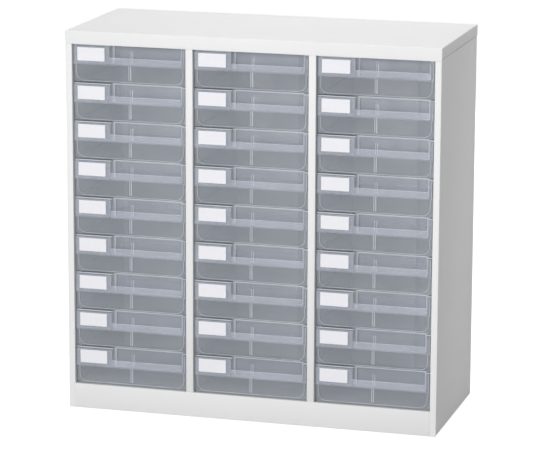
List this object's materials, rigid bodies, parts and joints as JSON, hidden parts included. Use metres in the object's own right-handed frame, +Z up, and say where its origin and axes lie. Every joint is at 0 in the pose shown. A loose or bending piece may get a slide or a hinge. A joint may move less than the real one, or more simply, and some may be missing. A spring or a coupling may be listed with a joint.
{
  "type": "document drawer cabinet",
  "caption": "Floor-standing enamelled steel case with columns of clear moulded letter drawers that slide out forwards, each with a label card and a finger pull.",
  "frame": {"origin": "middle of the footprint on the floor", "axes": "+Z up, the drawers face -Y and slide out along -Y, +X to the right of someone facing them"},
  "size_m": [0.87, 0.37, 0.88],
  "materials": {
    "front_enamel": "semi-gloss white enamel",
    "inner_enamel": "satin pale grey enamel",
    "zinc_plate": "zinc plated",
    "steel_fastener": "zinc plated",
    "foot_plastic": "matt moulded",
    "clear_styrol": "clear, lightly smoked"
  },
  "bodies": {
    "case": {"top_cover": "front_enamel", "side_panel_left": "front_enamel", "side_panel_right": "front_enamel", "mullion_1": "front_enamel", "mullion_2": "front_enamel", "plinth_front": "front_enamel", "back_panel": "inner_enamel", "floor_deck": "inner_enamel", "plinth_back": "inner_enamel", "partition_1": "inner_enamel", "partition_2": "inner_enamel", "top_brace_1": "inner_enamel", "top_brace_2": "inner_enamel", "stop_rail_left": "inner_enamel", "stop_rail_middle": "inner_enamel", "stop_rail_right": "inner_enamel", "runners_left_column_left": "inner_enamel", "runners_left_column_right": "inner_enamel", "runners_middle_column_left": "inner_enamel", "runners_middle_column_right": "inner_enamel", "runners_right_column_left": "inner_enamel", "runners_right_column_right": "inner_enamel", "corner_bracket_front_left": "zinc_plate", "corner_bracket_front_right": "zinc_plate", "corner_bracket_back_left": "zinc_plate", "corner_bracket_back_right": "zinc_plate", "levelling_bolts": "steel_fastener", "cover_screws": "steel_fastener", "back_panel_screws": "steel_fastener", "foot_pad_front_left": "foot_plastic", "foot_pad_front_right": "foot_plastic", "foot_pad_back_left": "foot_plastic", "foot_pad_back_right": "foot_plastic"},
    "drawer_left_1": {"drawer_left_1": "clear_styrol"},
    "drawer_left_2": {"drawer_left_2": "clear_styrol"},
    "drawer_left_3": {"drawer_left_3": "clear_styrol"},
    "drawer_left_4": {"drawer_left_4": "clear_styrol"},
    "drawer_left_5": {"drawer_left_5": "clear_styrol"},
    "drawer_left_6": {"drawer_left_6": "clear_styrol"},
    "drawer_left_7": {"drawer_left_7": "clear_styrol"},
    "drawer_left_8": {"drawer_left_8": "clear_styrol"},
    "drawer_left_9": {"drawer_left_9": "clear_styrol"},
    "drawer_middle_1": {"drawer_middle_1": "clear_styrol"},
    "drawer_middle_2": {"drawer_middle_2": "clear_styrol"},
    "drawer_middle_3": {"drawer_middle_3": "clear_styrol"},
    "drawer_middle_4": {"drawer_middle_4": "clear_styrol"},
    "drawer_middle_5": {"drawer_middle_5": "clear_styrol"},
    "drawer_middle_6": {"drawer_middle_6": "clear_styrol"},
    "drawer_middle_7": {"drawer_middle_7": "clear_styrol"},
    "drawer_middle_8": {"drawer_middle_8": "clear_styrol"},
    "drawer_middle_9": {"drawer_middle_9": "clear_styrol"},
    "drawer_right_1": {"drawer_right_1": "clear_styrol"},
    "drawer_right_2": {"drawer_right_2": "clear_styrol"},
    "drawer_right_3": {"drawer_right_3": "clear_styrol"},
    "drawer_right_4": {"drawer_right_4": "clear_styrol"},
    "drawer_right_5": {"drawer_right_5": "clear_styrol"},
    "drawer_right_6": {"drawer_right_6": "clear_styrol"},
    "drawer_right_7": {"drawer_right_7": "clear_styrol"},
    "drawer_right_8": {"drawer_right_8": "clear_styrol"},
    "drawer_right_9": {"drawer_right_9": "clear_styrol"}
  },
  "joints": [
    {"name": "left_1_slide", "type": "slide", "parent": "case", "child": "drawer_left_1", "axis": [0, -1, 0], "range_m": [0, 0.25]},
    {"name": "left_2_slide", "type": "slide", "parent": "case", "child": "drawer_left_2", "axis": [0, -1, 0], "range_m": [0, 0.25]},
    {"name": "left_3_slide", "type": "slide", "parent": "case", "child": "drawer_left_3", "axis": [0, -1, 0], "range_m": [0, 0.25]},
    {"name": "left_4_slide", "type": "slide", "parent": "case", "child": "drawer_left_4", "axis": [0, -1, 0], "range_m": [0, 0.25]},
    {"name": "left_5_slide", "type": "slide", "parent": "case", "child": "drawer_left_5", "axis": [0, -1, 0], "range_m": [0, 0.25]},
    {"name": "left_6_slide", "type": "slide", "parent": "case", "child": "drawer_left_6", "axis": [0, -1, 0], "range_m": [0, 0.25]},
    {"name": "left_7_slide", "type": "slide", "parent": "case", "child": "drawer_left_7", "axis": [0, -1, 0], "range_m": [0, 0.25]},
    {"name": "left_8_slide", "type": "slide", "parent": "case", "child": "drawer_left_8", "axis": [0, -1, 0], "range_m": [0, 0.25]},
    {"name": "left_9_slide", "type": "slide", "parent": "case", "child": "drawer_left_9", "axis": [0, -1, 0], "range_m": [0, 0.25]},
    {"name": "middle_1_slide", "type": "slide", "parent": "case", "child": "drawer_middle_1", "axis": [0, -1, 0], "range_m": [0, 0.25]},
    {"name": "middle_2_slide", "type": "slide", "parent": "case", "child": "drawer_middle_2", "axis": [0, -1, 0], "range_m": [0, 0.25]},
    {"name": "middle_3_slide", "type": "slide", "parent": "case", "child": "drawer_middle_3", "axis": [0, -1, 0], "range_m": [0, 0.25]},
    {"name": "middle_4_slide", "type": "slide", "parent": "case", "child": "drawer_middle_4", "axis": [0, -1, 0], "range_m": [0, 0.25]},
    {"name": "middle_5_slide", "type": "slide", "parent": "case", "child": "drawer_middle_5", "axis": [0, -1, 0], "range_m": [0, 0.25]},
    {"name": "middle_6_slide", "type": "slide", "parent": "case", "child": "drawer_middle_6", "axis": [0, -1, 0], "range_m": [0, 0.25]},
    {"name": "middle_7_slide", "type": "slide", "parent": "case", "child": "drawer_middle_7", "axis": [0, -1, 0], "range_m": [0, 0.25]},
    {"name": "middle_8_slide", "type": "slide", "parent": "case", "child": "drawer_middle_8", "axis": [0, -1, 0], "range_m": [0, 0.25]},
    {"name": "middle_9_slide", "type": "slide", "parent": "case", "child": "drawer_middle_9", "axis": [0, -1, 0], "range_m": [0, 0.25]},
    {"name": "right_1_slide", "type": "slide", "parent": "case", "child": "drawer_right_1", "axis": [0, -1, 0], "range_m": [0, 0.25]},
    {"name": "right_2_slide", "type": "slide", "parent": "case", "child": "drawer_right_2", "axis": [0, -1, 0], "range_m": [0, 0.25]},
    {"name": "right_3_slide", "type": "slide", "parent": "case", "child": "drawer_right_3", "axis": [0, -1, 0], "range_m": [0, 0.25]},
    {"name": "right_4_slide", "type": "slide", "parent": "case", "child": "drawer_right_4", "axis": [0, -1, 0], "range_m": [0, 0.25]},
    {"name": "right_5_slide", "type": "slide", "parent": "case", "child": "drawer_right_5", "axis": [0, -1, 0], "range_m": [0, 0.25]},
    {"name": "right_6_slide", "type": "slide", "parent": "case", "child": "drawer_right_6", "axis": [0, -1, 0], "range_m": [0, 0.25]},
    {"name": "right_7_slide", "type": "slide", "parent": "case", "child": "drawer_right_7", "axis": [0, -1, 0], "range_m": [0, 0.25]},
    {"name": "right_8_slide", "type": "slide", "parent": "case", "child": "drawer_right_8", "axis": [0, -1, 0], "range_m": [0, 0.25]},
    {"name": "right_9_slide", "type": "slide", "parent": "case", "child": "drawer_right_9", "axis": [0, -1, 0], "range_m": [0, 0.25]}
  ]
}
